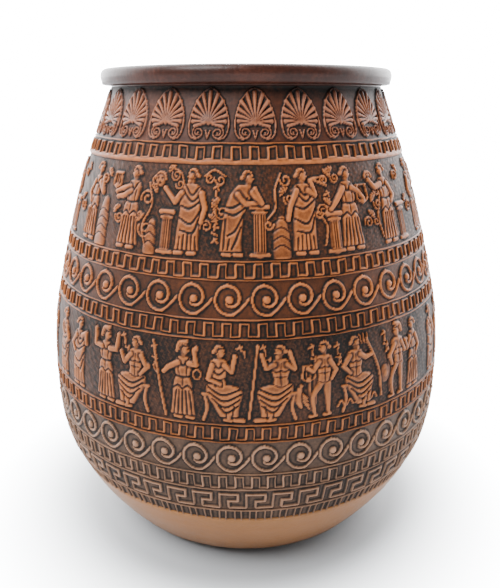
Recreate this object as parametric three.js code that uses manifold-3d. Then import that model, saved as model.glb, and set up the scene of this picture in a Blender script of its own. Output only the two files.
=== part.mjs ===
import * as THREE from 'three';
import ManifoldModule from 'manifold-3d';

const solidKit = await ManifoldModule();
solidKit.setup();

// All sizes are in millimetres. The jar stands on z = 0 and its axis is the z axis.
// Angles are in degrees around the axis: 0 faces -y, and they grow towards +x.
const HEIGHT = 300;
const FOOT_RADIUS = 78;
const FOOT_ROUNDING = 8;
const BASE_RADIUS = 96;
const BELLY_RADIUS = 134;
const BELLY_HEIGHT = 108;
const NECK_RADIUS = 87.5;
const RIM_RADIUS = 92;
const RIM_DEPTH = 10;
const NECK_GAP = 2;
const NECK_HEIGHT = HEIGHT - RIM_DEPTH - NECK_GAP;
const RIM_ROUNDING = 2.6;
const RIM_THICKNESS = 9.5;
const WALL = 7;
const FLOOR_THICKNESS = 9;
const PLAIN_HEIGHT = 51.4;
const SIDES = 32;

// How far the fields lie behind the belts, and how deep a raised piece is rooted in the wall.
const RELIEF = 1.5;
const ROOT = 2.2;

// The belts carry the key patterns. The fields between them carry the carving.
// Each pair is a bottom and a top, as shares of the carved height over the plain base.
const CARVED = NECK_HEIGHT - PLAIN_HEIGHT;
const BELTS = [
  [0, 0.0385],
  [0.1069, 0.1538],
  [0.2375, 0.2815],
  [0.4768, 0.5199],
  [0.6023, 0.6403],
  [0.8436, 0.8846],
].map(([low, high]) => ({ bottom: PLAIN_HEIGHT + low * CARVED, top: PLAIN_HEIGHT + high * CARVED }));
const BELT_EDGE = 0.7;
const COLLAR = 0.9;

const PALMETTES = 24;
const UPPER_SCROLLS = 40;
const LOWER_SCROLLS = 44;

// The thin lines of the carving: half their width, and how far they and the larger forms rise.
const LINE_HALF_WIDTH = 1.5;
const LINE_RISE = 1.4;
const FORM_RISE = 1.7;

// The curve of the wall. Each pair is a share of the way up and a share of the way out:
// first from the base to the belly, then from the belly to the neck.
const SWELL = [[0, 0], [0.12, 0.25], [0.32, 0.59], [0.62, 0.918]];
const TAPER = [[0, 0], [0.233, 0.071], [0.456, 0.273], [0.678, 0.52], [0.856, 0.781], [0.956, 0.938], [1, 1]];
const PROFILE = [
  ...SWELL.map(([up, out]) => ({
    z: FOOT_ROUNDING + up * (BELLY_HEIGHT - FOOT_ROUNDING),
    r: BASE_RADIUS + out * (BELLY_RADIUS - BASE_RADIUS),
  })),
  ...TAPER.map(([up, out]) => ({
    z: BELLY_HEIGHT + up * (NECK_HEIGHT - BELLY_HEIGHT),
    r: BELLY_RADIUS + out * (NECK_RADIUS - BELLY_RADIUS),
  })),
];

// The smooth outline of the body: a cubic through the knots above.
function outlineRadius(z) {
  const knots = PROFILE;
  const last = knots.length - 1;
  const height = Math.min(Math.max(z, knots[0].z), knots[last].z);
  let i = 0;
  while (i < last - 1 && height > knots[i + 1].z) {
    i += 1;
  }
  const slope = (k) => {
    const below = knots[Math.max(k - 1, 0)];
    const above = knots[Math.min(k + 1, last)];
    return (above.r - below.r) / (above.z - below.z);
  };
  const span = knots[i + 1].z - knots[i].z;
  const t = (height - knots[i].z) / span;
  const start = 2 * t ** 3 - 3 * t ** 2 + 1;
  const end = 1 - start;
  const leave = t ** 3 - 2 * t ** 2 + t;
  const arrive = t ** 3 - t ** 2;
  return start * knots[i].r + end * knots[i + 1].r + span * (leave * slope(i) + arrive * slope(i + 1));
}

function fieldRadius(z) {
  return outlineRadius(z) - RELIEF;
}

// A point that stands h proud of the field, at an angle and a height.
function onField(angle, z, h) {
  const step = 0.5;
  const lean = (fieldRadius(z + step) - fieldRadius(z - step)) / (2 * step);
  const length = Math.hypot(1, lean);
  const radius = fieldRadius(z) + h / length;
  const turn = THREE.MathUtils.degToRad(angle);
  return [radius * Math.sin(turn), -radius * Math.cos(turn), z - (h * lean) / length];
}

// Turns millimetres along the field into degrees at that height.
function degrees(millimetres, z) {
  return THREE.MathUtils.radToDeg(millimetres / fieldRadius(z));
}

function toSolid(points, faces) {
  const mesh = new solidKit.Mesh({
    numProp: 3,
    vertProperties: Float32Array.from(points.flat()),
    triVerts: Uint32Array.from(faces.flat()),
  });
  mesh.merge();
  return new solidKit.Manifold(mesh);
}

// A turned solid from a section that starts and ends on the axis.
function turned(section) {
  const points = [];
  const rings = section.map(([r, z]) => {
    const first = points.length;
    if (r === 0) {
      points.push([0, 0, z]);
      return { first, count: 1 };
    }
    for (let i = 0; i < SIDES; i += 1) {
      const turn = (2 * Math.PI * i) / SIDES;
      points.push([r * Math.sin(turn), -r * Math.cos(turn), z]);
    }
    return { first, count: SIDES };
  });
  const faces = [];
  for (let k = 0; k + 1 < rings.length; k += 1) {
    const low = rings[k];
    const high = rings[k + 1];
    for (let i = 0; i < SIDES; i += 1) {
      const next = (i + 1) % SIDES;
      const a = low.first + (low.count === 1 ? 0 : i);
      const b = low.first + (low.count === 1 ? 0 : next);
      const c = high.first + (high.count === 1 ? 0 : next);
      const d = high.first + (high.count === 1 ? 0 : i);
      if (low.count > 1) {
        faces.push([a, b, c]);
      }
      if (high.count > 1) {
        faces.push([a, c, d]);
      }
    }
  }
  return toSolid(points, faces);
}

// A raised ridge along a path. Each stop has an angle, a height, a half width and a rise.
function ridge(stops) {
  const local = stops.map((s) => [THREE.MathUtils.degToRad(s.a) * fieldRadius(s.z), s.z]);
  const points = [];
  stops.forEach((s, i) => {
    const before = local[Math.max(i - 1, 0)];
    const after = local[Math.min(i + 1, local.length - 1)];
    const run = [after[0] - before[0], after[1] - before[1]];
    const length = Math.hypot(run[0], run[1]);
    const side = [-run[1] / length, run[0] / length];
    for (const [offset, h] of [[s.w, -ROOT], [0, s.h], [-s.w, -ROOT]]) {
      points.push(onField(s.a + degrees(side[0] * offset, s.z), s.z + side[1] * offset, h));
    }
  });
  const faces = [];
  for (let i = 0; i + 1 < stops.length; i += 1) {
    for (let k = 0; k < 3; k += 1) {
      const a = 3 * i + k;
      const b = 3 * i + ((k + 1) % 3);
      faces.push([a, b + 3, a + 3]);
      faces.push([a, b, b + 3]);
    }
  }
  const end = 3 * (stops.length - 1);
  faces.push([0, 2, 1]);
  faces.push([end, end + 1, end + 2]);
  return toSolid(points, faces);
}

// A leaf fan: a lobed outline that rises to one point.
function fan(angle, z, radius, rise, lobes) {
  const points = [];
  const corners = 2 * lobes + 1;
  for (let i = 0; i < corners; i += 1) {
    const turn = Math.PI * (-0.1 + (1.2 * i) / (corners - 1));
    const reach = radius * (i % 2 === 0 ? 1 : 0.62) * (0.75 + 0.25 * Math.sin(turn));
    const up = reach * 1.25 * Math.sin(turn);
    points.push(onField(angle + degrees(reach * Math.cos(turn), z), z + up, -ROOT));
  }
  points.push(onField(angle, z + 0.2 * radius, rise));
  const faces = [];
  for (let i = 0; i < corners; i += 1) {
    const next = (i + 1) % corners;
    faces.push([i, next, corners]);
  }
  const base = corners + 1;
  points.push(onField(angle, z, -ROOT));
  for (let i = 0; i < corners; i += 1) {
    const next = (i + 1) % corners;
    faces.push([next, i, base]);
  }
  return toSolid(points, faces);
}

// A low boss: a rounded outline that rises to its middle.
function boss(angle, z, radius, rise, corners = 5, stretch = 1) {
  const points = [];
  for (let i = 0; i < corners; i += 1) {
    const turn = (2 * Math.PI * (i + 0.5)) / corners;
    const across = radius * Math.cos(turn);
    const up = radius * stretch * Math.sin(turn);
    points.push(onField(angle + degrees(across, z), z + up, -ROOT));
  }
  points.push(onField(angle, z, rise));
  const faces = [];
  for (let i = 0; i < corners; i += 1) {
    const next = (i + 1) % corners;
    faces.push([i, next, corners]);
    if (i > 0 && i < corners - 1) {
      faces.push([0, next, i]);
    }
  }
  return toSolid(points, faces);
}

// Joins many solids pair by pair.
function joined(solids) {
  let round = solids;
  while (round.length > 1) {
    const next = [];
    for (let i = 0; i < round.length; i += 2) {
      next.push(i + 1 < round.length ? round[i].add(round[i + 1]) : round[i]);
    }
    round = next;
  }
  return round[0];
}

function bodySection() {
  const section = [
    [0, 0],
    [FOOT_RADIUS, 0],
    [FOOT_RADIUS + 0.7 * (BASE_RADIUS - FOOT_RADIUS), 0.4 * FOOT_ROUNDING],
    [BASE_RADIUS, FOOT_ROUNDING],
  ];
  const lowRing = (FOOT_ROUNDING + PLAIN_HEIGHT) / 2;
  section.push([outlineRadius(lowRing), lowRing]);
  BELTS.forEach((belt, i) => {
    if (i > 0) {
      section.push([fieldRadius(belt.bottom - BELT_EDGE), belt.bottom - BELT_EDGE]);
    }
    section.push([outlineRadius(belt.bottom), belt.bottom]);
    section.push([outlineRadius(belt.top), belt.top]);
    section.push([fieldRadius(belt.top + BELT_EDGE), belt.top + BELT_EDGE]);
  });
  const rimBottom = HEIGHT - RIM_DEPTH;
  const rimInner = RIM_RADIUS - RIM_THICKNESS;
  section.push([fieldRadius(NECK_HEIGHT), rimBottom - COLLAR]);
  section.push([RIM_RADIUS - 0.6, rimBottom]);
  section.push([RIM_RADIUS, HEIGHT - RIM_ROUNDING]);
  section.push([RIM_RADIUS - RIM_ROUNDING, HEIGHT]);
  section.push([rimInner + RIM_ROUNDING, HEIGHT]);
  section.push([rimInner, HEIGHT - RIM_ROUNDING]);
  section.push([rimInner, rimBottom]);
  const innerLow = FLOOR_THICKNESS + FOOT_ROUNDING;
  for (let k = 5; k > 0; k -= 1) {
    const z = innerLow + (k / 6) * (rimBottom - innerLow);
    section.push([fieldRadius(z) - WALL, z]);
  }
  section.push([BASE_RADIUS - WALL, FLOOR_THICKNESS + FOOT_ROUNDING / 2]);
  section.push([FOOT_RADIUS - WALL, FLOOR_THICKNESS]);
  section.push([0, FLOOR_THICKNESS]);
  return section;
}

// One palmette: a pointed arch over leaves that fan out from two small curls.
function palmette(centre, bottom, top) {
  const tall = top - bottom;
  const at = (across, up) => ({
    a: centre + degrees(across, bottom + up * tall),
    z: bottom + up * tall,
    w: LINE_HALF_WIDTH,
    h: LINE_RISE,
  });
  const half = 0.44 * ((2 * Math.PI * fieldRadius((bottom + top) / 2)) / PALMETTES);
  const parts = [
    ridge([
      at(-half * 0.96, 0.05),
      at(-half * 0.86, 0.56),
      at(0, 0.93),
      at(half * 0.86, 0.56),
      at(half * 0.96, 0.05),
    ]),
    fan(centre, bottom + 0.2 * tall, 0.72 * half, FORM_RISE, 5),
  ];
  return parts;
}

// One running scroll: a round boss, and a ridge that winds round it and runs on to the next.
function scroll(centre, bottom, top, pitch) {
  const middle = (bottom + top) / 2;
  const half = (top - bottom) / 2 - LINE_HALF_WIDTH;
  const at = (u, v) => ({ a: centre + u * pitch, z: middle + v * half, w: LINE_HALF_WIDTH, h: LINE_RISE });
  return [
    ridge([
      { ...at(-0.06, -0.3), w: 2.4 * LINE_HALF_WIDTH, h: FORM_RISE },
      at(0.16, 0.75),
      at(0.46, -0.75),
    ]),
  ];
}

// The friezes. Each figure has an angle, a pose and its reach: all lengths are shares of the
// frieze's height, and u is across, v is up from the ground line.
const POSES = {
  standing: {
    body: [[0, 0.78, 0.1], [0, 0.03, 0.22]],
    head: [0, 0.88],
    arms: [[[0.12, 0.66], [0.28, 0.56]]],
  },
  robed: {
    body: [[0, 0.78, 0.1], [-0.02, 0.03, 0.27]],
    head: [-0.02, 0.88],
    arms: [[[-0.12, 0.66], [-0.32, 0.74]]],
  },
  seated: {
    body: [[0, 0.76, 0.11], [0.02, 0.38, 0.2], [0.24, 0.03, 0.14]],
    head: [0.02, 0.88],
    arms: [],
  },
  reaching: {
    body: [[0, 0.76, 0.1], [0.06, 0.03, 0.2]],
    head: [-0.02, 0.87],
    arms: [[[0.12, 0.66], [0.32, 0.82]]],
  },
  raised: {
    body: [[0, 0.76, 0.1], [0, 0.03, 0.27]],
    head: [0, 0.86],
    arms: [[[-0.12, 0.68], [-0.24, 0.92]], [[0.12, 0.68], [0.24, 0.92]]],
  },
  leaning: {
    body: [[0.02, 0.76, 0.09], [-0.08, 0.48, 0.13], [-0.1, 0.03, 0.15]],
    head: [0.08, 0.88],
    arms: [[[0.14, 0.66], [0.28, 0.5]]],
  },
};

function figure(angle, pose, bottom, top, facing) {
  const tall = top - bottom;
  const stop = ([u, v], w, h) => ({
    a: angle + degrees(facing * u * tall, bottom + v * tall),
    z: bottom + v * tall,
    w,
    h,
  });
  const shape = POSES[pose];
  const parts = [
    ridge(shape.body.map(([u, v, w]) => stop([u, v], w * tall, FORM_RISE))),
    boss(angle + degrees(facing * shape.head[0] * tall, top), bottom + shape.head[1] * tall, 0.12 * tall, FORM_RISE, 4, 1.1),
  ];
  for (const arm of shape.arms) {
    parts.push(ridge(arm.map((joint) => stop(joint, 0.05 * tall, LINE_RISE))));
  }
  return parts;
}

// A short column that widens to its cap.
function column(angle, bottom, tall, width) {
  return [
    ridge([
      { a: angle, z: bottom + 0.02 * tall, w: width / 2, h: LINE_RISE },
      { a: angle, z: bottom + tall, w: 0.7 * width, h: LINE_RISE },
    ]),
  ];
}

function staff(angle, lean, bottom, top) {
  return [
    ridge([
      { a: angle, z: top - LINE_HALF_WIDTH, w: LINE_HALF_WIDTH, h: LINE_RISE },
      { a: angle + lean, z: bottom + LINE_HALF_WIDTH, w: LINE_HALF_WIDTH, h: LINE_RISE },
    ]),
  ];
}

// What the upper frieze shows from left to right in front; the run repeats round the jar.
const UPPER_RUN = [
  { a: -53, pose: 'reaching', facing: 1 },
  { a: -34.6, pose: 'robed', facing: 1 },
  { a: -15.5, pose: 'standing', facing: -1 },
  { a: -1.4, pose: 'leaning', facing: 1 },
  { a: 15.9, pose: 'standing', facing: 1 },
  { a: 30.3, pose: 'robed', facing: -1 },
  { a: 46, pose: 'reaching', facing: -1 },
];
const UPPER_STANDS = [
  { a: -46, tall: 0.45, width: 0.17 },
  { a: -22, tall: 0.43, width: 0.13 },
  { a: 3.1, tall: 0.49, width: 0.14 },
  { a: 9.5, tall: 0.36, width: 0.17 },
  { a: 24.7, tall: 0.39, width: 0.15 },
];
const UPPER_ROUNDS = [
  { a: -42, z: 0.8, r: 0.08 },
  { a: -25.6, z: 0.82, r: 0.09 },
  { a: -29.5, z: 0.42, r: 0.06 },
  { a: 10, z: 0.9, r: 0.07 },
  { a: 36, z: 0.66, r: 0.09 },
  { a: 39.5, z: 0.82, r: 0.08 },
];
const UPPER_REPEAT = 120;

const LOWER_RUN = [
  { a: -58.5, pose: 'standing', facing: 1 },
  { a: -48.8, pose: 'robed', facing: 1 },
  { a: -37, pose: 'raised', facing: 1 },
  { a: -27.3, pose: 'seated', facing: -1 },
  { a: -14.8, pose: 'reaching', facing: 1 },
  { a: -6.3, pose: 'seated', facing: 1 },
  { a: 7.6, pose: 'seated', facing: -1 },
  { a: 18.5, pose: 'leaning', facing: -1 },
  { a: 27, pose: 'seated', facing: 1 },
  { a: 41.5, pose: 'leaning', facing: 1 },
  { a: 48.5, pose: 'standing', facing: -1 },
];
const LOWER_STAFFS = [
  { a: -23.2, lean: 4.4 },
  { a: 2.7, lean: -2.2 },
  { a: 31, lean: 3.5 },
];
const LOWER_ROUNDS = [
  { a: 12.4, z: 0.3, r: 0.09 },
  { a: 36, z: 0.4, r: 0.11 },
];
const LOWER_REPEAT = 120;

const upperField = { bottom: BELTS[4].top + BELT_EDGE, top: BELTS[5].bottom - BELT_EDGE };
const lowerField = { bottom: BELTS[2].top + BELT_EDGE, top: BELTS[3].bottom - BELT_EDGE };
const leafField = { bottom: BELTS[5].top + BELT_EDGE, top: NECK_HEIGHT };
const scrollField = { bottom: BELTS[3].top + BELT_EDGE, top: BELTS[4].bottom - BELT_EDGE };
const lowScrollField = { bottom: BELTS[1].top + BELT_EDGE, top: BELTS[2].bottom - BELT_EDGE };

function carving() {
  const parts = [];
  for (let i = 0; i < PALMETTES; i += 1) {
    parts.push(...palmette((360 * i) / PALMETTES + 2.9, leafField.bottom, leafField.top));
  }
  for (let i = 0; i < UPPER_SCROLLS; i += 1) {
    const pitch = 360 / UPPER_SCROLLS;
    parts.push(...scroll(pitch * i + 5, scrollField.bottom, scrollField.top, pitch));
  }
  for (let i = 0; i < LOWER_SCROLLS; i += 1) {
    const pitch = 360 / LOWER_SCROLLS;
    parts.push(...scroll(pitch * i + 4.8, lowScrollField.bottom, lowScrollField.top, pitch));
  }
  for (let turn = 0; turn < 360; turn += UPPER_REPEAT) {
    for (const f of UPPER_RUN) {
      parts.push(...figure(f.a + turn, f.pose, upperField.bottom, upperField.top, f.facing));
    }
    const tall = upperField.top - upperField.bottom;
    for (const s of UPPER_STANDS) {
      parts.push(...column(s.a + turn, upperField.bottom, s.tall * tall, s.width * tall));
    }
    for (const o of UPPER_ROUNDS) {
      parts.push(boss(o.a + turn, upperField.bottom + o.z * tall, o.r * tall, FORM_RISE, 4));
    }
  }
  for (let turn = 0; turn < 360; turn += LOWER_REPEAT) {
    for (const f of LOWER_RUN) {
      parts.push(...figure(f.a + turn, f.pose, lowerField.bottom, lowerField.top, f.facing));
    }
    for (const s of LOWER_STAFFS) {
      parts.push(...staff(s.a + turn, s.lean, lowerField.bottom, lowerField.top));
    }
    const tall = lowerField.top - lowerField.bottom;
    for (const o of LOWER_ROUNDS) {
      parts.push(boss(o.a + turn, lowerField.bottom + o.z * tall, o.r * tall, FORM_RISE, 4));
    }
  }
  return parts;
}

const solid = joined([turned(bodySection()), ...carving()]);
const made = solid.getMesh();
const geometry = new THREE.BufferGeometry();
const corners = new Float32Array((made.vertProperties.length / made.numProp) * 3);
for (let i = 0; i < corners.length / 3; i += 1) {
  for (let k = 0; k < 3; k += 1) {
    corners[3 * i + k] = made.vertProperties[made.numProp * i + k];
  }
}
geometry.setAttribute('position', new THREE.BufferAttribute(corners, 3));
geometry.setIndex(new THREE.BufferAttribute(Uint32Array.from(made.triVerts), 1));
geometry.computeVertexNormals();

const material = new THREE.MeshStandardMaterial({ color: 0x8a5a3f, roughness: 0.6 });
material.name = 'terracotta';
const krater = new THREE.Mesh(geometry, material);
krater.name = 'krater';

const group = new THREE.Group();
group.add(krater);
export default group;
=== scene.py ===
"""The looks of a terracotta jar covered in moulded relief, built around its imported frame."""

import math

import bpy
import numpy as np
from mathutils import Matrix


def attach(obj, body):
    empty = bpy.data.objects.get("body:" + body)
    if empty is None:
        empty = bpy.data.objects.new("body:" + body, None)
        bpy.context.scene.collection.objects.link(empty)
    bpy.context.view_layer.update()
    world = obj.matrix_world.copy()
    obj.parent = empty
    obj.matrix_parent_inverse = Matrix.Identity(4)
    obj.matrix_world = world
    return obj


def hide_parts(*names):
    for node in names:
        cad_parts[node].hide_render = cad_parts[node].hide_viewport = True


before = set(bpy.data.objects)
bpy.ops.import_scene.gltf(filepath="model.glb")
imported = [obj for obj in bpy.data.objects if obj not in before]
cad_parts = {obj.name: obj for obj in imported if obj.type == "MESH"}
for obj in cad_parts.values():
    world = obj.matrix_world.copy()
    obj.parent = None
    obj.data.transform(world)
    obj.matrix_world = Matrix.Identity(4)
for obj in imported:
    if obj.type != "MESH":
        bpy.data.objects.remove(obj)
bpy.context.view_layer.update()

# Sizes are in millimetres until a mesh is made. Angles are in degrees: 0 faces -y and they grow towards +x.
MM = 0.001
HEIGHT = 300.0
WALL = 7.0
FLOOR = 9.0
# How far the empty field of the bands lies behind the outline.
FIELD_DEPTH = 1.5
# The usual rise of a ridge over the field, and the deepest level that a stroke cuts to.
RIDGE = 1.35
DEEPEST = -0.35
# Painted shadow of the rim: the colour is darkest from here up, under the rim.
RIM_SHADE = 289.0
# The outline as heights and radii.
KNOTS = np.array(
    [
        (8, 96.0), (20, 105.5), (40, 118.4), (70, 130.9), (108, 134.0), (150, 130.7), (190, 121.3),
        (230, 109.8), (262, 97.7), (280, 90.4), (288, 87.5),
    ]
)


def outline(z):
    """The radius of the jar's outline at a height."""
    knot_z, knot_r = KNOTS.T
    z = np.clip(np.asarray(z, float), knot_z[0], knot_z[-1])
    slope = np.empty(len(knot_z))
    slope[1:-1] = (knot_r[2:] - knot_r[:-2]) / (knot_z[2:] - knot_z[:-2])
    slope[0] = (knot_r[1] - knot_r[0]) / (knot_z[1] - knot_z[0])
    slope[-1] = (knot_r[-1] - knot_r[-2]) / (knot_z[-1] - knot_z[-2])
    i = np.clip(np.searchsorted(knot_z, z) - 1, 0, len(knot_z) - 2)
    span = knot_z[i + 1] - knot_z[i]
    t = (z - knot_z[i]) / span
    end = 3 * t**2 - 2 * t**3
    leave = t**3 - 2 * t**2 + t
    arrive = t**3 - t**2
    return (1 - end) * knot_r[i] + end * knot_r[i + 1] + span * (leave * slope[i] + arrive * slope[i + 1])


def wander(x, z, length, seed):
    """A smooth, even noise between about -1 and 1, with waves of roughly the given length."""
    draw = np.random.default_rng(seed)
    total = np.zeros(np.broadcast(x, z).shape)
    for _ in range(7):
        turn = draw.uniform(0, 2 * math.pi)
        pace = 2 * math.pi / (length * draw.uniform(0.6, 1.7))
        total += np.sin((x * math.cos(turn) + z * math.sin(turn)) * pace + draw.uniform(0, 2 * math.pi))
    return total / 3.2


def box_blur(a, reach, axis, wraps):
    """The mean over a window of 2 * reach + 1 cells."""
    pad = [(0, 0), (0, 0)]
    pad[axis] = (reach + 1, reach)
    wide = np.pad(a, pad, mode="wrap" if wraps else "edge")
    summed = np.cumsum(wide, axis=axis)
    size = a.shape[axis]
    high = np.take(summed, np.arange(2 * reach + 1, 2 * reach + 1 + size), axis=axis)
    low = np.take(summed, np.arange(size), axis=axis)
    return (high - low) / (2 * reach + 1)


def smooth(points, steps):
    """More points along a curve through the given ones."""
    p = [np.array(q, float) for q in points]
    p = [2 * p[0] - p[1]] + p + [2 * p[-1] - p[-2]]
    made = []
    for a, b, c, d in zip(p, p[1:], p[2:], p[3:]):
        bend = 2 * a - 5 * b + 4 * c - d
        twist = 3 * b - a - 3 * c + d
        for t in np.arange(steps) / steps:
            made.append(0.5 * (2 * b + (c - a) * t + bend * t**2 + twist * t**3))
    made.append(p[-2])
    return made


def curl(cx, cz, r_start, r_end, turn_start, turn_end, steps):
    """Points on a spiral round a centre. The turns are in degrees, and 0 is to the right."""
    share = np.linspace(0, 1, steps)
    radius = r_start + (r_end - r_start) * share
    turn = np.radians(turn_start + (turn_end - turn_start) * share)
    return list(np.stack([cx + radius * np.cos(turn), cz + radius * np.sin(turn)], axis=1))


class Panel:
    """A stretch of the wall, unrolled: a grid of x and z with the rise of the relief. Its sides meet."""

    def __init__(self, wide, bottom, top, columns, rows):
        self.wide = wide
        self.columns = columns
        self.step = wide / columns
        self.x = np.arange(columns) * wide / columns
        self.z = np.linspace(bottom, top, rows)
        self.h = np.zeros((rows, columns))

    def window(self, x0, x1, z0, z1):
        """The columns, the rows and the unbroken x of the cells in a box."""
        i = np.arange(math.floor(x0 / self.step), math.ceil(x1 / self.step) + 1)
        if len(i) > self.columns:
            i = np.arange(self.columns)
        j = np.where((self.z >= z0) & (self.z <= z1))[0]
        return i % self.columns, j, i * self.step

    def cover(self, j, i, inside, level):
        """Raises the cells inside a form to its level, where they are lower."""
        there = self.h[np.ix_(j, i)]
        self.h[np.ix_(j, i)] = np.where(inside, np.maximum(there, level), there)

    def draw(self, points, width, rise, how="over", flat=0.0):
        """A round-backed stroke along the points: it covers what is there, or cuts into it."""
        p = np.array(points, float)
        widths = np.atleast_1d(np.asarray(width, float))
        w = np.interp(np.linspace(0, 1, len(p)), np.linspace(0, 1, len(widths)), widths)
        m = w.max()
        i, j, x = self.window(p[:, 0].min() - m, p[:, 0].max() + m, p[:, 1].min() - m, p[:, 1].max() + m)
        if len(j) == 0:
            return
        gx, gz = np.meshgrid(x, self.z[j])
        best = np.full(gx.shape, -1.0)
        for k in range(len(p) - 1):
            a = p[k]
            run = p[k + 1] - a
            size = max(run @ run, 1e-9)
            t = np.clip(((gx - a[0]) * run[0] + (gz - a[1]) * run[1]) / size, 0, 1)
            reach = w[k] + (w[k + 1] - w[k]) * t
            d = np.hypot(gx - a[0] - t * run[0], gz - a[1] - t * run[1])
            best = np.maximum(best, 1 - (d / reach) ** 2)
        q = np.clip(best / (1 - flat), 0, 1)
        if how == "over":
            self.cover(j, i, best > 0, rise * np.sqrt(q))
        else:
            there = self.h[np.ix_(j, i)]
            self.h[np.ix_(j, i)] = np.where(best > 0, np.maximum(there - rise * q, DEEPEST), there)

    def blob(self, x, z, rx, rz, rise, how="over"):
        """A round boss, which covers what is there, adds to it or cuts into it."""
        i, j, gx = self.window(x - rx, x + rx, z - rz, z + rz)
        if len(j) == 0:
            return
        gx, gz = np.meshgrid(gx, self.z[j])
        q = np.clip(1 - ((gx - x) / rx) ** 2 - ((gz - z) / rz) ** 2, 0, 1)
        if how == "over":
            self.cover(j, i, q > 0, rise * q**0.5)
        else:
            self.h[np.ix_(j, i)] += (rise if how == "add" else -rise) * q

    def form(self, z, left, right, rise):
        """A body with a flat middle between a left and a right outline. It falls off at its ends."""
        i, j, x = self.window(min(left), max(right), min(z), max(z))
        gx, gz = np.meshgrid(x, self.z[j])
        lo = np.interp(gz, z, left)
        hi = np.interp(gz, z, right)
        across = 1 - ((2 * gx - lo - hi) / (hi - lo)) ** 2
        ends = np.clip(np.minimum(gz - min(z), max(z) - gz) / 0.9, 0.25, 1)
        self.cover(j, i, across > 0, rise * np.sqrt(np.clip(2 * across, 0, 1)) * ends)

    def close(self, grain=0.0):
        """Roughens the empty field, and brings both edges down to it so that the bands meet."""
        gx, gz = np.meshgrid(self.x, self.z)
        turn = gx / self.wide * 2 * math.pi
        reach = self.wide / (2 * math.pi)
        bumps = wander(reach * np.sin(turn) + 0.4 * gz, reach * np.cos(turn) + gz, length=2.3, seed=31)
        self.h = np.where(self.h < 0.12, self.h + grain * np.clip(bumps, -0.2, 1), self.h)
        self.h[[0, -1]] = 0

    def wash_and_shade(self, field):
        """How bare the clay is, with painted shade: 0 in the darkest corners, 1 on the rubbed edges.
        Recesses, folds and the field round raised forms are darkened both by the dark wash and by painted
        shade.
        """
        corner, rubbed = 0.7, 0.62
        near = max(round(corner / self.step), 1)
        near_z = max(round(corner / (self.z[1] - self.z[0])), 1)
        blurred = self.h
        for _ in range(2):
            blurred = box_blur(box_blur(blurred, near, 1, True), near_z, 0, False)
        # Painted shade: the cavity term darkens recesses, folds and the field next to raised forms, besides
        # the dark wash in the hollows. On the crests it makes the clay barer.
        cavity = self.h - blurred
        return np.clip(field + 1.5 * cavity + (rubbed - field) / RIDGE * np.clip(self.h, 0, RIDGE), 0, 1)


def leans(z):
    """The outward and upward shares of the wall's normal."""
    slope = (outline(z + 0.4) - outline(z - 0.4)) / 0.8
    size = np.hypot(1, slope)
    return 1 / size, -slope / size


def fret(period, bottom, top, share, cordon=0.0, bars_only=False):
    """One tile of a key pattern: a thin square wave, or its bars alone, with a cordon over and under it."""
    p = Panel(period, bottom, top, 12 if bars_only else 16, max(int((top - bottom) / 0.56), 12))
    margin = (1 - share) / 2 * (top - bottom)
    low = bottom + margin + 0.5 * cordon
    high = top - margin
    left, right = 0.22 * period, 0.69 * period
    bars = [[(left, low), (left, high)], [(right, low), (right, high)]]
    if not bars_only:
        bars += [[(left, high), (right, high)], [(right, low), (left + period, low)]]
    for bar in bars:
        p.draw(bar, 0.4, RIDGE)
    if not bars_only:
        p.draw([(0, bottom + 0.7 + cordon), (period, bottom + 0.7 + cordon)], 0.5 + cordon, 1.25)
    p.draw([(0, top - 0.6), (period, top - 0.6)], 0.48, 1.2)
    return p


def key_run(period, bottom, top):
    """One tile of the large meander."""
    p = Panel(period, bottom, top, 22, 28)
    tall = top - bottom
    turns = [(0.0, 0.14), (0.0, 0.84), (0.7, 0.84), (0.7, 0.5), (0.36, 0.5), (0.36, 0.14), (1.0, 0.14)]
    p.draw([(u * period, bottom + v * tall) for u, v in turns], 0.78, RIDGE)
    return p


def running_scroll(period, bottom, top):
    """One tile of the running scroll: a boss, a ridge that winds round it and a ridge on to the next."""
    p = Panel(period, bottom, top, 28, 30)
    mid = (bottom + top) / 2
    r = min(0.42 * period, 0.41 * (top - bottom))
    c = 0.45 * period
    p.draw(curl(c, mid, r, 0.34 * r, 128, -125, 50), [0.8, 0.85, 0.75], 1.4)
    leave = curl(c, mid, r, r, 128, 292, 24)
    arrive = curl(c + period, mid, r, r, 140, 100, 6)
    rising = smooth([leave[-2], leave[-1], (c + 0.93 * r, mid - 0.42 * r), arrive[0], arrive[1]], 5)
    p.draw(leave[:-2] + rising, 0.75, RIDGE)
    p.draw(arrive, 0.75, RIDGE)
    p.blob(c, mid, 2.2, 2.2, 1.7)
    return p


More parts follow.
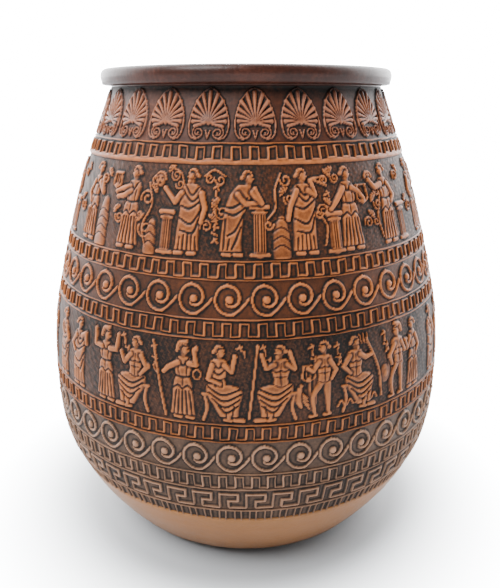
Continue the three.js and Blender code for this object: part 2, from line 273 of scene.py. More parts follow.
def palmette(period, bottom, top):
    """One tile of the leaf band: a thin egg-shaped arch round a fan of leaves over two spirals."""
    p = Panel(period, bottom, top, 52, 50)
    tall = top - bottom
    c = 0.5 * period
    half = 0.44 * period

    def at(u, v):
        return c + u * half, bottom + v * tall

    arch = [(0, 0.955), (0.3, 0.9), (0.68, 0.72), (0.94, 0.46), (0.97, 0.24), (0.84, 0.09), (0.52, 0.04)]
    for side in (-1, 1):
        p.draw(smooth([at(side * u, v) for u, v in arch], 5), 0.42, 1.25)
        x, z = at(side * 0.47, 0.16)
        p.draw(curl(x, z, 3.3, 1.0, 90 - side * 5, 90 - side * 575, 64), 0.4, 1.25)
        p.blob(x, z, 0.62, 0.62, 1.3)
        x, z = at(0, 0.34)
        for k, long in enumerate([14.4, 12.6, 11.0, 9.8, 8.8, 7.4], 1):
            turn = math.radians(90 - side * k * 17)
            du, dv = math.cos(turn), math.sin(turn)
            bend = (x + 0.55 * long * du, z + 0.6 * long * dv)
            tip = (x + long * du, z + long * dv - 0.05 * k)
            p.draw(smooth([(x, z), bend, tip], 4), [0.4, 0.85, 1.4 - 0.05 * k], 1.45)
    p.draw([at(0, 0.34), at(0, 0.875)], [0.4, 0.85, 1.4], 1.5)
    p.blob(*at(0, 0.32), 1.0, 1.0, 1.5)
    p.draw([at(-0.1, 0.2), at(0, 0.07), at(0.1, 0.2)], 0.4, 1.2)
    return p


class Carver:
    """Draws one figure or thing on a frieze. Lengths are shares of the frieze's height."""

    def __init__(self, panel, angle, ground, tall, facing=1):
        self.panel, self.tall, self.ground, self.facing = panel, tall, ground, facing
        self.x = math.radians(angle) / (2 * math.pi) * panel.wide

    def at(self, point):
        return self.x + self.facing * point[0] * self.tall, self.ground + point[1] * self.tall

    def line(self, points, width, rise=1.2, how="over", curved=True, flat=0.0):
        p = [self.at(q) for q in points]
        if curved and len(p) > 2:
            p = smooth(p, 4)
        wide = np.asarray(width, float) * self.tall
        self.panel.draw(p, wide if wide.ndim == 0 else list(wide), rise, how, flat)

    def spot(self, point, rx, rz, rise=1.3, how="over"):
        x, z = self.at(point)
        self.panel.blob(x, z, rx * self.tall, rz * self.tall, rise, how)

    def form(self, rows, rise=1.3):
        """A body from rows of a height, a left edge and a right edge."""
        rows = sorted(rows)
        z = [self.ground + v * self.tall for v, _, _ in rows]
        ends = [sorted((self.facing * lo, self.facing * hi)) for _, lo, hi in rows]
        left = [self.x + lo * self.tall for lo, _ in ends]
        right = [self.x + hi * self.tall for _, hi in ends]
        self.panel.form(z, left, right, rise)

    def folds(self, paths, width, depth):
        """Shallow cuts that are thinnest at their ends."""
        for path in paths:
            self.line(path, [width * 0.7, width, width * 0.7], depth, "cut")

    def head(self, point, look, beard=False, crest=False):
        """A head in profile, with waved hair in a knot."""
        u, v = point
        self.line([(u, v - 0.12), (u, v - 0.05)], 0.04, 1.1)
        self.spot((u - look * 0.008, v + 0.014), 0.066, 0.068, 1.35)
        for k in range(6):
            turn = math.radians(5 + 32 * k)
            across = u - look * (0.008 + 0.056 * math.cos(turn))
            self.spot((across, v + 0.014 + 0.058 * math.sin(turn)), 0.021, 0.021, 1.6)
        band = [(u + look * 0.05, v + 0.042), (u - look * 0.012, v + 0.036), (u - look * 0.04, v - 0.02)]
        self.folds([band], 0.014, 0.6)
        self.spot((u + look * 0.018, v - 0.014), 0.042, 0.056, 1.65)
        self.spot((u + look * 0.056, v - 0.014), 0.016, 0.016, 1.4)
        if beard:
            self.spot((u + look * 0.03, v - 0.062), 0.036, 0.04, 1.55)
            self.folds([[(u + look * 0.058, v - 0.034), (u + look * 0.002, v - 0.036)]], 0.012, 0.4)
        self.spot((u - look * 0.08, v + 0.0), 0.028, 0.028, 1.5)
        if crest:
            plume = [(u - look * 0.09, v - 0.02), (u - look * 0.06, v + 0.08), (u + look * 0.04, v + 0.098)]
            self.line(plume, 0.026, 1.6)

    def limb(self, points, start, end, rise=1.45):
        """An arm or a leg that gets thinner, with a cut round it."""
        middle = (start + end) / 2
        self.line(points, [start + 0.03, middle + 0.03, end + 0.03], 0.75, "cut", curved=False)
        self.line(points, [start, middle, end], rise, curved=False)

    def arm(self, points):
        self.limb(points, 0.044, 0.03, 1.6)
        self.spot(points[-1], 0.034, 0.034, 1.6)

    def lyre(self, point, size=0.1):
        u, v = point
        top = v + size * 0.8
        for side in (-1, 1):
            horn = [(u, v - size), (u + side * size * 0.75, v - size * 0.5), (u + side * size * 0.55, top)]
            self.line(horn, 0.014, 1.4)
        self.line([(u - size * 0.7, top), (u + size * 0.7, top)], 0.013, 1.4)
        self.spot((u, v - size * 0.75), 0.045, 0.04, 1.4)
        for k in (-1, 0, 1):
            self.line([(u + k * size * 0.22, v - size * 0.5), (u + k * size * 0.22, top)], 0.007, 0.7)

    def mask(self, point, size):
        """A round face with open eyes and mouth, in a wreath."""
        u, v = point
        self.spot(point, size, size * 1.15, 1.4)
        for side in (-1, 1):
            self.spot((u + side * size * 0.36, v + size * 0.2), size * 0.2, size * 0.2, 0.9, "cut")
        self.spot((u, v - size * 0.5), size * 0.3, size * 0.22, 0.9, "cut")
        for k in range(9):
            turn = math.radians(10 + 20 * k)
            leaf = (u + size * 1.05 * math.cos(turn), v + size * 1.15 * math.sin(turn))
            self.spot(leaf, 0.018, 0.018, 1.4)

    def mound(self, tall, wide):
        """A heap of rock."""
        self.line([(0, 0.02), (0, tall * 0.6), (0.01, tall)], [wide * 1.1, wide, wide * 0.6], 1.2)
        for k in range(4):
            ledge = [(-wide, 0.08 + 0.1 * k), (0, 0.13 + 0.1 * k), (wide, 0.07 + 0.1 * k)]
            self.line(ledge, 0.012, 0.5, "cut")

    def column(self, tall, wide):
        self.line([(0, 0.05), (0, tall - 0.07)], wide, 1.1, curved=False, flat=0.5)
        for k in range(4):
            u = (-0.66 + 0.44 * k) * wide
            self.line([(u, 0.06), (u, tall - 0.09)], 0.009, 0.75, "cut")
        self.line([(-wide * 1.3, tall), (wide * 1.3, tall)], 0.028, 1.5, flat=0.4)
        self.line([(-wide * 1.1, tall - 0.06), (wide * 1.1, tall - 0.06)], 0.016, 1.4)
        self.line([(-wide * 1.3, 0.02), (wide * 1.3, 0.02)], 0.025, 1.4)

    def spray(self, point, size, turn=1):
        """A thin curl on a stem, with a sprig of leaves."""
        u, v = point
        x, z = self.at(point)
        r = 1.25 * size * self.tall
        self.panel.draw(curl(x, z, r, 0.2 * r, 200 * turn, -300 * turn, 34), 0.52, 1.25)
        side = self.facing * turn
        root_u, root_v = u + 0.9 * size * side, v + 1.2 * size
        for k in range(5):
            a = math.radians(90 + side * (20 - 32 * k))
            leaf = [(root_u + r * math.cos(a), root_v + r * math.sin(a)) for r in (0.02, 0.062)]
            self.line(leaf, [0.008, 0.017], 1.2)

    def stem(self, points, curls):
        """A long thin stem, with curls that leave it."""
        self.line(points, 0.013, 1.25)
        for u, v, size, turn in curls:
            x, z = self.at((u, v))
            r = size * self.tall
            start = 180 * (turn < 0)
            self.panel.draw(curl(x, z, r, 0.24 * r, start, start - turn * 400, 34), 0.55, 1.25)

    def marks(self, top, count, slant=0.0):
        """Short strokes under each other, where the jar has an inscription. They are no letters."""
        step = 0.075
        for k in range(count):
            u, v = slant * k * step, top - k * step
            tilt = math.radians(25 + 70 * k)
            du, dv = 0.036 * math.cos(tilt), 0.03 * math.sin(tilt)
            self.line([(u - du, v - dv), (u + du, v + dv)], 0.015, 1.15)
            if k % 3 != 1:
                self.line([(u + 0.018 + dv, v - du), (u + 0.018 - dv, v + du)], 0.014, 1.05)

    def stool(self):
        centre, wide, tall = -0.04, 0.15, 0.36
        self.line([(centre - wide, tall), (centre + wide, tall)], 0.028, 1.2, flat=0.3)
        for side in (-1, 1):
            leg = [(0.9, tall), (0.7, tall / 2), (1, 0.02)]
            self.line([(centre + side * wide * share, v) for share, v in leg], 0.024, 1.2)


# The outlines of the bodies and of the seated figures' knees: height, left edge and right edge.
WRAPPED = [
    (0.82, -0.05, 0.05), (0.785, -0.11, 0.11), (0.74, -0.155, 0.155), (0.66, -0.16, 0.165),
    (0.55, -0.13, 0.155), (0.45, -0.135, 0.145), (0.3, -0.15, 0.14), (0.15, -0.155, 0.135),
    (0.05, -0.165, 0.14),
]
BELTED = [
    (0.82, -0.045, 0.045), (0.785, -0.1, 0.1), (0.74, -0.13, 0.13), (0.66, -0.12, 0.12),
    (0.57, -0.09, 0.09), (0.5, -0.12, 0.125), (0.38, -0.135, 0.135), (0.2, -0.145, 0.15),
    (0.05, -0.17, 0.175),
]
LEANING = [
    (0.82, 0.06, 0.17), (0.77, 0.0, 0.22), (0.7, -0.06, 0.23), (0.6, -0.1, 0.18),
    (0.48, -0.13, 0.11), (0.3, -0.15, 0.1), (0.15, -0.16, 0.09), (0.05, -0.17, 0.1),
]
TORSO = [
    (0.82, -0.05, 0.05), (0.785, -0.12, 0.12), (0.74, -0.145, 0.145), (0.66, -0.12, 0.12),
    (0.56, -0.088, 0.088), (0.47, -0.11, 0.11), (0.42, -0.09, 0.09),
]
KNEES = [
    (0.5, -0.13, 0.12), (0.46, -0.16, 0.25), (0.4, -0.17, 0.3), (0.33, -0.16, 0.3),
    (0.24, -0.08, 0.27), (0.14, -0.03, 0.26), (0.06, 0.02, 0.25),
]


def feet(c, left, right, look):
    """Two feet that point the way the figure looks."""
    for u in (left, right):
        c.line([(u - look * 0.02, 0.03), (u + look * 0.055, 0.024)], 0.027, 1.35)


def chest(c):
    """The lines of a bare chest."""
    c.folds([[(0, 0.76), (0.005, 0.6), (0, 0.48)]], 0.017, 0.45)
    cuts = [[(-0.11, 0.675), (-0.05, 0.65), (0, 0.665)], [(0, 0.665), (0.06, 0.65), (0.11, 0.675)]]
    c.folds(cuts, 0.019, 0.55)
    cuts = [[(-0.07, 0.59), (0, 0.58), (0.07, 0.59)], [(-0.09, 0.49), (0, 0.455), (0.09, 0.49)]]
    c.folds(cuts, 0.016, 0.45)


def standing(c, arms, look=1, kind="wrapped", beard=False, crest=False, head=(0.005, 0.9)):
    """A standing figure: wrapped in a cloak, belted, leaning, or bare with a cloak behind it."""
    if kind == "bare":
        c.form([(0.72, -0.2, -0.1), (0.5, -0.22, -0.08), (0.2, -0.21, -0.1), (0.08, -0.19, -0.13)], 0.8)
        c.folds([[(-0.15, 0.68), (-0.17, 0.4), (-0.16, 0.14)]], 0.018, 0.5)
        leg = [(-look * 0.04, 0.47), (-look * 0.05, 0.25), (-look * 0.06, 0.05)]
        c.line(leg, [0.064, 0.042, 0.026], 1.4)
        c.line([(look * 0.05, 0.46), (look * 0.16, 0.28), (look * 0.13, 0.05)], [0.06, 0.038, 0.026], 1.5)
        feet(c, -look * 0.06, look * 0.13, look)
        c.form(TORSO, 1.55)
        chest(c)
    elif kind == "belted":
        c.form(BELTED)
        feet(c, -0.08, 0.08, look)
        cuts = [[(-0.1, 0.565), (0, 0.555), (0.1, 0.565)], [(-0.07, 0.78), (0, 0.7), (0.07, 0.78)]]
        c.folds(cuts, 0.022, 0.8)
        cuts = [[(-0.13, 0.4), (-0.06, 0.45), (0, 0.4)], [(0, 0.4), (0.07, 0.45), (0.13, 0.39)]]
        c.folds(cuts, 0.02, 0.7)
        cuts = [[(-0.06, 0.7), (-0.05, 0.58)], [(0.06, 0.7), (0.05, 0.58)], [(0, 0.54), (0, 0.45)]]
        c.folds(cuts, 0.018, 0.5)
        for u in (-0.1, -0.05, 0.0, 0.055, 0.11):
            c.folds([[(0.8 * u, 0.38), (u, 0.2), (1.15 * u, 0.07)]], 0.02, 0.75)
    elif kind == "leaning":
        c.form(LEANING)
        feet(c, -0.1, 0.03, look)
        cuts = [[(0.16, 0.66), (0, 0.56), (-0.1, 0.56)], [(0.13, 0.55), (0, 0.47), (-0.11, 0.5)]]
        c.folds(cuts, 0.022, 0.8)
        cuts = [[(0.1, 0.46), (0.02, 0.3), (-0.07, 0.24)], [(0.08, 0.34), (0.03, 0.2), (-0.02, 0.09)]]
        c.folds(cuts, 0.022, 0.75)
        c.folds([[(-0.1, 0.42), (-0.11, 0.25), (-0.12, 0.08)], [(-0.05, 0.2), (-0.07, 0.08)]], 0.019, 0.7)
    else:
        c.form(WRAPPED)
        feet(c, -0.09, 0.07, look)
        cuts = [[(-0.07, 0.79), (0.02, 0.68), (0.1, 0.77)], [(-0.09, 0.72), (0.03, 0.61), (0.13, 0.7)]]
        c.folds(cuts, 0.022, 0.8)
        cuts = [[(0.14, 0.62), (0, 0.53), (-0.11, 0.56)], [(0.14, 0.52), (0.03, 0.36), (-0.12, 0.42)]]
        c.folds(cuts, 0.022, 0.8)
        c.folds([[(0.12, 0.42), (0.06, 0.26), (-0.1, 0.28)]], 0.022, 0.8)
        for u in (-0.11, -0.055, 0.0, 0.05, 0.1):
            c.folds([[(u * 0.9, 0.25 - abs(u) * 0.4), (u, 0.07)]], 0.019, 0.75)
    for joints in arms:
        c.arm(joints)
    c.head(head, look, beard, crest)


def seated(c, arms, look=1, beard=False, bare=True):
    """A seated figure with cloth over the knees."""
    c.stool()
    c.limb([(0.12, 0.3), (0.1, 0.18), (0.13, 0.05)], 0.05, 0.034)
    c.form(KNEES, 1.4)
    cuts = [[(-0.13, 0.46), (0.05, 0.36), (0.26, 0.43)], [(-0.12, 0.39), (0.07, 0.28), (0.28, 0.37)]]
    c.folds(cuts, 0.023, 0.85)
    cuts = [[(-0.08, 0.31), (0.08, 0.2), (0.26, 0.3)], [(0, 0.22), (0.1, 0.13), (0.24, 0.22)]]
    c.folds(cuts, 0.021, 0.8)
    c.folds([[(0.2, 0.22), (0.17, 0.08)], [(0.09, 0.13), (0.1, 0.07)]], 0.019, 0.7)
    c.line([(0.2, 0.03), (0.31, 0.022)], 0.032, 1.4)
    c.line([(0.08, 0.03), (0.16, 0.022)], 0.028, 1.35)
    c.form(TORSO if bare else [(v, 0.92 * lo, 0.92 * hi) for v, lo, hi in TORSO], 1.55)
    if bare:
        chest(c)
    else:
        cuts = [[(-0.08, 0.77), (0, 0.7), (0.08, 0.77)], [(-0.09, 0.69), (0, 0.62), (0.09, 0.69)]]
        c.folds(cuts, 0.021, 0.75)
        c.folds([[(-0.07, 0.57), (0, 0.55), (0.07, 0.57)]], 0.019, 0.7)
        c.folds([[(-0.03, 0.54), (-0.04, 0.47)], [(0.04, 0.54), (0.05, 0.47)]], 0.019, 0.7)
    for joints in arms:
        c.arm(joints)
    c.head((0.01, 0.895), look, beard)


# The tendrils between the upper figures: angle, height, size and way round.
TENDRILS = [
    (-48.5, 0.78, 0.06, 1), (-38.6, 0.36, 0.06, -1), (-20.4, 0.9, 0.055, -1),
    (-10.6, 0.34, 0.06, 1), (12.0, 0.64, 0.06, -1), (21.6, 0.5, 0.06, 1), (26.4, 0.86, 0.05, -1),
    (36.6, 0.3, 0.06, 1), (41.4, 0.5, 0.06, -1), (54.5, 0.8, 0.06, 1), (60.0, 0.4, 0.07, -1),
]


def upper_scene(c):
    """Music, masks and offerings between small columns."""
    arms = [(0.08, 0.73), (0.2, 0.62), (0.16, 0.78)], [(-0.07, 0.73), (-0.15, 0.58), (-0.08, 0.48)]
    standing(c(-53), arms, 1, "belted")
    c(-46).mound(0.52, 0.11)
    for angle, height, size, way in TENDRILS:
        c(angle).spray((0, height), size, way)
    arms = [(-0.06, 0.73), (-0.2, 0.7), (-0.3, 0.66)], [(-0.04, 0.68), (-0.16, 0.62), (-0.26, 0.6)]
    standing(c(-34.6), arms, -1, "belted")
    c(-42).lyre((0, 0.8))
    path = [(0.03, 0.05), (-0.05, 0.3), (0.06, 0.55), (-0.02, 0.8)]
    c(-28.5).stem(path, [(0.07, 0.84, 0.07, 1), (-0.11, 0.42, 0.06, -1)])
    c(-19).stem([(-0.12, 0.98), (0, 0.93), (0.06, 0.8)], [(0, 0.8, 0.06, -1)])
    c(-9).stem([(-0.12, 0.9), (0, 0.97), (0.14, 0.9)], [(-0.06, 0.88, 0.06, 1), (0.08, 0.86, 0.065, -1)])
    path = [(-0.1, 0.42), (0, 0.55), (0, 0.75), (0.08, 0.93)]
    c(8).stem(path, [(0.14, 0.86, 0.075, -1), (-0.09, 0.36, 0.06, 1)])
    c(21.5).stem([(0, 0.1), (0.04, 0.3), (-0.02, 0.42)], [(-0.06, 0.46, 0.05, 1)])
    c(42).stem([(0, 0.1), (-0.05, 0.35), (0.05, 0.62)], [(0, 0.66, 0.055, -1), (-0.1, 0.3, 0.05, 1)])
    c(-29).spray((0, 0.62), 0.08)
    c(-28.4).spray((0, 0.26), 0.09, -1)
    c(-26.7).mound(0.34, 0.08)
    arms = [(-0.12, 0.7), (-0.2, 0.6), (-0.35, 0.75)], [(0.14, 0.7), (0.19, 0.54), (0.15, 0.38)]
    standing(c(-15.5), arms, -1, beard=True)
    c(-25.4).mask((0, 0.84), 0.075)
    c(-22).column(0.48, 0.065)
    c(-8.3).marks(0.78, 9)
    c(-6.4).spray((0, 0.5), 0.07, -1)
    c(3.6).column(0.56, 0.075)
    arms = [(0.04, 0.7), (0.13, 0.6), (0.3, 0.6)], [(0.22, 0.72), (0.33, 0.6), (0.25, 0.76)]
    standing(c(-3.2), arms, 1, "leaning", head=(0.17, 0.885))
    c(9.3).mound(0.4, 0.1)
    arms = [(0.07, 0.73), (0.16, 0.68), (0.12, 0.84)], [(-0.08, 0.73), (-0.17, 0.56), (-0.2, 0.42)]
    standing(c(15.9), arms)
    c(16.6).line([(0.09, 0.86), (0.3, 0.78)], 0.016, 1.5)
    c(16.6).line([(0.09, 0.86), (0.27, 0.88)], 0.014, 1.5)
    c(23.2).marks(0.68, 3)
    c(23.2).spray((-0.02, 0.84), 0.045)
    c(24.7).column(0.45, 0.075)
    arms = [(-0.07, 0.73), (-0.18, 0.6), (-0.28, 0.5)], [(0.07, 0.73), (0.17, 0.68), (0.24, 0.6)]
    standing(c(30.3), arms, 1, "belted")
    c(35.5).lyre((0, 0.66), 0.12)
    c(39.4).mask((0, 0.82), 0.065)
    arms = [(-0.07, 0.73), (-0.2, 0.7), (-0.3, 0.8)], [(0.08, 0.73), (0.18, 0.58), (0.1, 0.5)]
    standing(c(46), arms, -1, "belted")
    c(53).column(0.45, 0.07)


def lower_scene(c):
    """A company of seated and standing figures with staffs."""
    standing(c(-58.5), [[(0.08, 0.73), (0.16, 0.58), (0.08, 0.5)]])
    arms = [(-0.07, 0.73), (-0.17, 0.6), (-0.1, 0.5)], [(0.08, 0.74), (0.18, 0.8), (0.2, 0.66)]
    standing(c(-48.8), arms)
    arms = [(-0.08, 0.73), (-0.2, 0.74), (-0.22, 0.94)], [(0.08, 0.73), (0.2, 0.74), (0.22, 0.94)]
    standing(c(-37), arms, 1, "belted", crest=True)
    arms = [(-0.08, 0.74), (-0.17, 0.6), (-0.08, 0.5)], [(0.07, 0.74), (0.18, 0.62), (0.24, 0.74)]
    seated(c(-27.3, -1), arms)
    c(-24).spot((0, 0.62), 0.05, 0.05, 1.4)
    c(-22.4).marks(0.9, 5, 0.1)
    c(-31.6).marks(0.95, 3, 0.6)
    c(-1.6).marks(0.95, 2, 0.9)
    c(3.8).marks(0.95, 3, 0.5)
    c(-20.8).line([(-0.1, 0.97), (0.1, 0.02)], 0.018, 1.45)
    arms = [(-0.07, 0.73), (-0.2, 0.66), (-0.26, 0.6)], [(0.08, 0.73), (0.17, 0.72), (0.14, 0.9)]
    standing(c(-14.8), arms, 1, "belted", crest=True)
    c(-11.7).spot((0, 0.92), 0.03, 0.04, 1.4)
    ring = [(0.05 * math.cos(a), 0.6 + 0.06 * math.sin(a)) for a in np.linspace(0, 6.3, 13)]
    c(-11.4).line(ring, 0.012, 1.2)
    arms = [(0.07, 0.74), (0.16, 0.66), (0.2, 0.84)], [(-0.08, 0.73), (-0.13, 0.56), (0.02, 0.5)]
    seated(c(-6.3), arms, bare=False)
    c(1.6).line([(0.06, 0.97), (-0.05, 0.05)], 0.018, 1.45)
    c(1.6).spot((0.06, 0.96), 0.03, 0.034, 1.5)
    arms = [(0.08, 0.74), (0.18, 0.7), (0.24, 0.86)], [(-0.08, 0.74), (-0.18, 0.68), (-0.12, 0.88)]
    seated(c(8, -1), arms, beard=True)
    c(12.4).line([(0, 0.4), (-0.02, 0.28), (0.02, 0.16)], [0.035, 0.06, 0.02], 1.4)
    c(12.4).spot((0.02, 0.44), 0.028, 0.028, 1.4)
    for k in range(4):
        c(12.4).line([(0.04, 0.34 - 0.03 * k), (0.1 + 0.01 * k, 0.28 - 0.05 * k)], 0.013, 1.2)
    c(14.6).lyre((0, 0.6), 0.11)
    arms = [(-0.07, 0.73), (-0.15, 0.62), (-0.22, 0.66)], [(0.08, 0.73), (0.17, 0.6), (0.1, 0.5)]
    standing(c(18.5), arms, -1, "bare")
    c(15.4).marks(0.92, 3, 0.2)
    c(22).marks(0.9, 4, 0.15)
    arms = [(0.07, 0.74), (0.17, 0.68), (0.26, 0.7)], [(-0.08, 0.74), (-0.18, 0.62), (-0.08, 0.52)]
    seated(c(27), arms, beard=True)
    c(32.4).line([(-0.1, 0.92), (0.09, 0.5), (0.14, 0.1)], 0.018, 1.45)
    for side in (-1, 0, 1):
        c(31.2).line([(-0.07 + side * 0.045, 0.86), (-0.08 + side * 0.06, 0.98)], 0.011, 1.4)
    for k in range(5):
        c(23 + 2.4 * k).line([(-0.05, 0.1), (0, 0.17), (0.05, 0.1)], 0.015, 1.2)
    c(36.4).marks(0.92, 4, 0.25)
    c(36.5).spot((0, 0.38), 0.1, 0.13, 1.2)
    c(36.5).spot((0, 0.38), 0.04, 0.05, 0.4, "add")
    arms = [(-0.07, 0.73), (-0.18, 0.6), (-0.14, 0.48)], [(0.08, 0.73), (0.16, 0.6), (0.22, 0.72)]
    standing(c(41.5), arms, -1, "bare", crest=True)
    arms = [(-0.07, 0.73), (-0.16, 0.6), (-0.2, 0.72)], [(0.08, 0.73), (0.15, 0.58), (0.08, 0.5)]
    standing(c(48.5), arms, -1, "belted")


def carve(panel, ground, tall, scene):
    """Carves a scene three times round the jar."""
    for turn in (0, 120, 240):
        scene(lambda angle, facing=1: Carver(panel, angle + turn, ground, tall, facing))


# Trees of nodes


class Tree:
    """Builds one node tree: add() makes a node, sets its sockets and gives it back."""

    def __init__(self, name, kind, inputs, outputs):
        self.tree = bpy.data.node_groups.new(name, kind)
        for way, sockets in (("INPUT", inputs), ("OUTPUT", outputs)):
            for label, sort in sockets.items():
                self.tree.interface.new_socket(label, in_out=way, socket_type="NodeSocket" + sort)
        self.start = self.tree.nodes.new("NodeGroupInput").outputs
        self.end = self.tree.nodes.new("NodeGroupOutput").inputs

    def add(self, kind, values, **settings):
        return add_node(self.tree, kind, values, **settings)

    def math(self, operation, *values):
        return self.add("ShaderNodeMath", dict(enumerate(values)), operation=operation).outputs[0]

    def plus(self, one, other):
        return self.math("ADD", one, other)

    def times(self, one, other):
        return self.math("MULTIPLY", one, other)

    def finish(self, label, socket):
        self.tree.links.new(socket, self.end[label])


def add_node(tree, kind, values, **settings):
    """A new node with its settings. Each value is written into its socket or linked to it."""
    node = tree.nodes.new(kind)
    for key, value in settings.items():
        setattr(node, key, value)
    for key, value in values.items():
        if isinstance(value, bpy.types.NodeSocket):
            tree.links.new(value, node.inputs[key])
        else:
            node.inputs[key].default_value = value
    return node


def read_field(t, name):
    """The number that the mesh keeps under a name."""
    return t.add("GeometryNodeInputNamedAttribute", {"Name": name}, data_type="FLOAT").outputs[0]


def to_wall(t, turn, reach, rise, z):
    """A position from an angle in radians, a radius, a vertical shift and a height."""
    x = t.times(t.math("SINE", turn), reach)
    y = t.times(t.times(t.math("COSINE", turn), reach), -1.0)
    return t.add("ShaderNodeCombineXYZ", {0: x, 1: y, 2: t.plus(z, rise)}).outputs[0]


def noise_round(t, turn, z, stretch, scale, detail):
    """A noise that is read on the jar itself, so that it meets where a ring closes."""
    place = {0: t.math("SINE", turn), 1: t.math("COSINE", turn), 2: t.times(z, stretch)}
    around = t.add("ShaderNodeCombineXYZ", place).outputs[0]
    values = {"Vector": around, "W": t.start["Seed"], "Scale": scale, "Detail": detail}
    return t.add("ShaderNodeTexNoise", values, noise_dimensions="4D").outputs


def finish_wall(t, sheet, where, label):
    """Moves a sheet's points to their places, and gives it back as one smooth surface."""
    placed = t.add("GeometryNodeSetPosition", {"Geometry": sheet.outputs[0], "Position": where})
    closed = t.add("GeometryNodeMergeByDistance", {"Geometry": placed.outputs[0], "Distance": 2e-6})
    real = t.add("GeometryNodeRealizeInstances", {0: closed.outputs[0]})
    shaded = t.add("GeometryNodeSetShadeSmooth", {"Geometry": real.outputs[0]})
    done = t.add("GeometryNodeSetMaterial", {"Geometry": shaded.outputs[0], "Material": t.start["Material"]})
    t.finish(label, done.outputs[0])
    return t.tree


def ring_tree():
    """Sets copies of a flat tile side by side, and wraps the row round the jar.

    The tile's x runs from 0 to 1 across it, its y is the rise and its z the height, all in metres."""
    inputs = {"Tile": "Geometry", "Count": "Int", "Start angle": "Float", "Wander": "Float", "Seed": "Float"}
    inputs["Material"] = "Material"
    t = Tree("ring_of_tiles", "GeometryNodeTree", inputs, {"Ring": "Geometry"})
    row = t.add("GeometryNodeMeshLine", {"Count": t.start["Count"], "Offset": (1, 0, 0)}, mode="OFFSET")
    copies = t.add("GeometryNodeInstanceOnPoints", {"Points": row.outputs[0], "Instance": t.start["Tile"]})
    flat = t.add("GeometryNodeRealizeInstances", {0: copies.outputs[0]})
    place = t.add("GeometryNodeInputPosition", {})
    x, y, z = t.add("ShaderNodeSeparateXYZ", {0: place.outputs[0]}).outputs
    turn = t.times(t.math("DIVIDE", x, t.start["Count"]), 2 * math.pi)
    noise = noise_round(t, turn, z, 8.0, 9.0, 2.0)
    nr, ng, nb = t.add("ShaderNodeSeparateXYZ", {0: noise["Color"]}).outputs
    swing = t.times(t.math("SUBTRACT", nr, 0.5), t.start["Wander"])
    lift = t.times(t.math("SUBTRACT", ng, 0.5), t.start["Wander"])
    lift = t.times(lift, read_field(t, "inner"))
    worn = t.plus(t.times(nb, 0.6), 0.68)
    rise = t.times(y, t.math("MINIMUM", worn, 1.0))
    reach = t.plus(read_field(t, "reach"), t.times(rise, read_field(t, "out")))
    # The sideways wander is a length, and becomes an angle at a radius of 0.12 m.
    start = t.plus(t.math("RADIANS", t.start["Start angle"]), t.math("DIVIDE", swing, 0.12))
    where = to_wall(t, t.plus(turn, start), reach, t.plus(lift, t.times(rise, read_field(t, "up"))), z)
    return finish_wall(t, flat, where, "Ring")


def turned_tree():
    """Turns a section round the axis. The section's x is the radius and its z the height."""
    inputs = {"Section": "Geometry", "Sides": "Int", "Unevenness": "Float", "Seed": "Float"}
    inputs["Material"] = "Material"
    t = Tree("turned_section", "GeometryNodeTree", inputs, {"Wall": "Geometry"})
    size = t.add("GeometryNodeAttributeDomainSize", {0: t.start["Section"]}, component="MESH").outputs[0]
    across = t.plus(t.start["Sides"], 1.0)
    sheet = t.add("GeometryNodeMeshGrid", {"Vertices X": across, "Vertices Y": size})
    index = t.add("GeometryNodeInputIndex", {}).outputs[0]
    row = t.math("MODULO", index, size)
    column = t.math("FLOOR", t.math("DIVIDE", t.plus(index, 0.5), size))
    at = t.add("GeometryNodeInputPosition", {}).outputs[0]
    sampled = t.add(
        "GeometryNodeSampleIndex",
        {"Geometry": t.start["Section"], "Value": at, "Index": row},
        data_type="FLOAT_VECTOR",
        domain="POINT",
    )
    radius, _, z = t.add("ShaderNodeSeparateXYZ", {0: sampled.outputs[0]}).outputs
    turn = t.times(t.math("DIVIDE", column, t.start["Sides"]), 2 * math.pi)
    noise = noise_round(t, turn, z, 9.0, 2.2, 3.0)
    # The wall only ever dents inwards, and less towards the axis.
    dent = t.times(t.math("MINIMUM", t.math("SUBTRACT", noise[0], 0.62), 0.0), t.start["Unevenness"])
    fade = t.math("MINIMUM", t.math("DIVIDE", radius, 0.06), 1.0)
    reach = t.plus(radius, t.times(dent, fade))
    return finish_wall(t, sheet, to_wall(t, turn, reach, 0.0, z), "Wall")


def grow(name, mesh, tree, values):
    """Runs a tree on a mesh, and keeps the result as a plain piece."""
    piece = bpy.data.objects.new(name, mesh)
    bpy.context.collection.objects.link(piece)
    modifier = piece.modifiers.new("tree", "NODES")
    modifier.node_group = tree
    for item in tree.interface.items_tree:
        if item.in_out == "INPUT" and item.name in values:
            modifier[item.identifier] = values[item.name]
    graph = bpy.context.evaluated_depsgraph_get()
    made = bpy.data.meshes.new_from_object(piece.evaluated_get(graph), depsgraph=graph)
    piece.modifiers.remove(modifier)
    made.materials.clear()
    made.materials.append(values["Material"])
    made.polygons.foreach_set("material_index", np.zeros(len(made.polygons), np.int32))
    piece.data = made
    return piece


# Meshes from grids


def grid_mesh(name, points, wraps):
    """A mesh over a grid of points. With wraps, the last column joins the first."""
    rows, columns, _ = points.shape
    j, i = np.meshgrid(np.arange(rows - 1), np.arange(columns if wraps else columns - 1), indexing="ij")
    after = (i + 1) % columns
    low = j * columns
    high = low + columns
    quads = np.stack([low + i, low + after, high + after, high + i], axis=-1).reshape(-1, 4)
    mesh = bpy.data.meshes.new(name)
    mesh.vertices.add(rows * columns)
    mesh.vertices.foreach_set("co", points.reshape(-1))
    mesh.loops.add(quads.size)
    mesh.loops.foreach_set("vertex_index", quads.reshape(-1))
    mesh.polygons.add(len(quads))
    mesh.polygons.foreach_set("loop_start", np.arange(0, quads.size, 4))
    mesh.update(calc_edges=True)
    return mesh


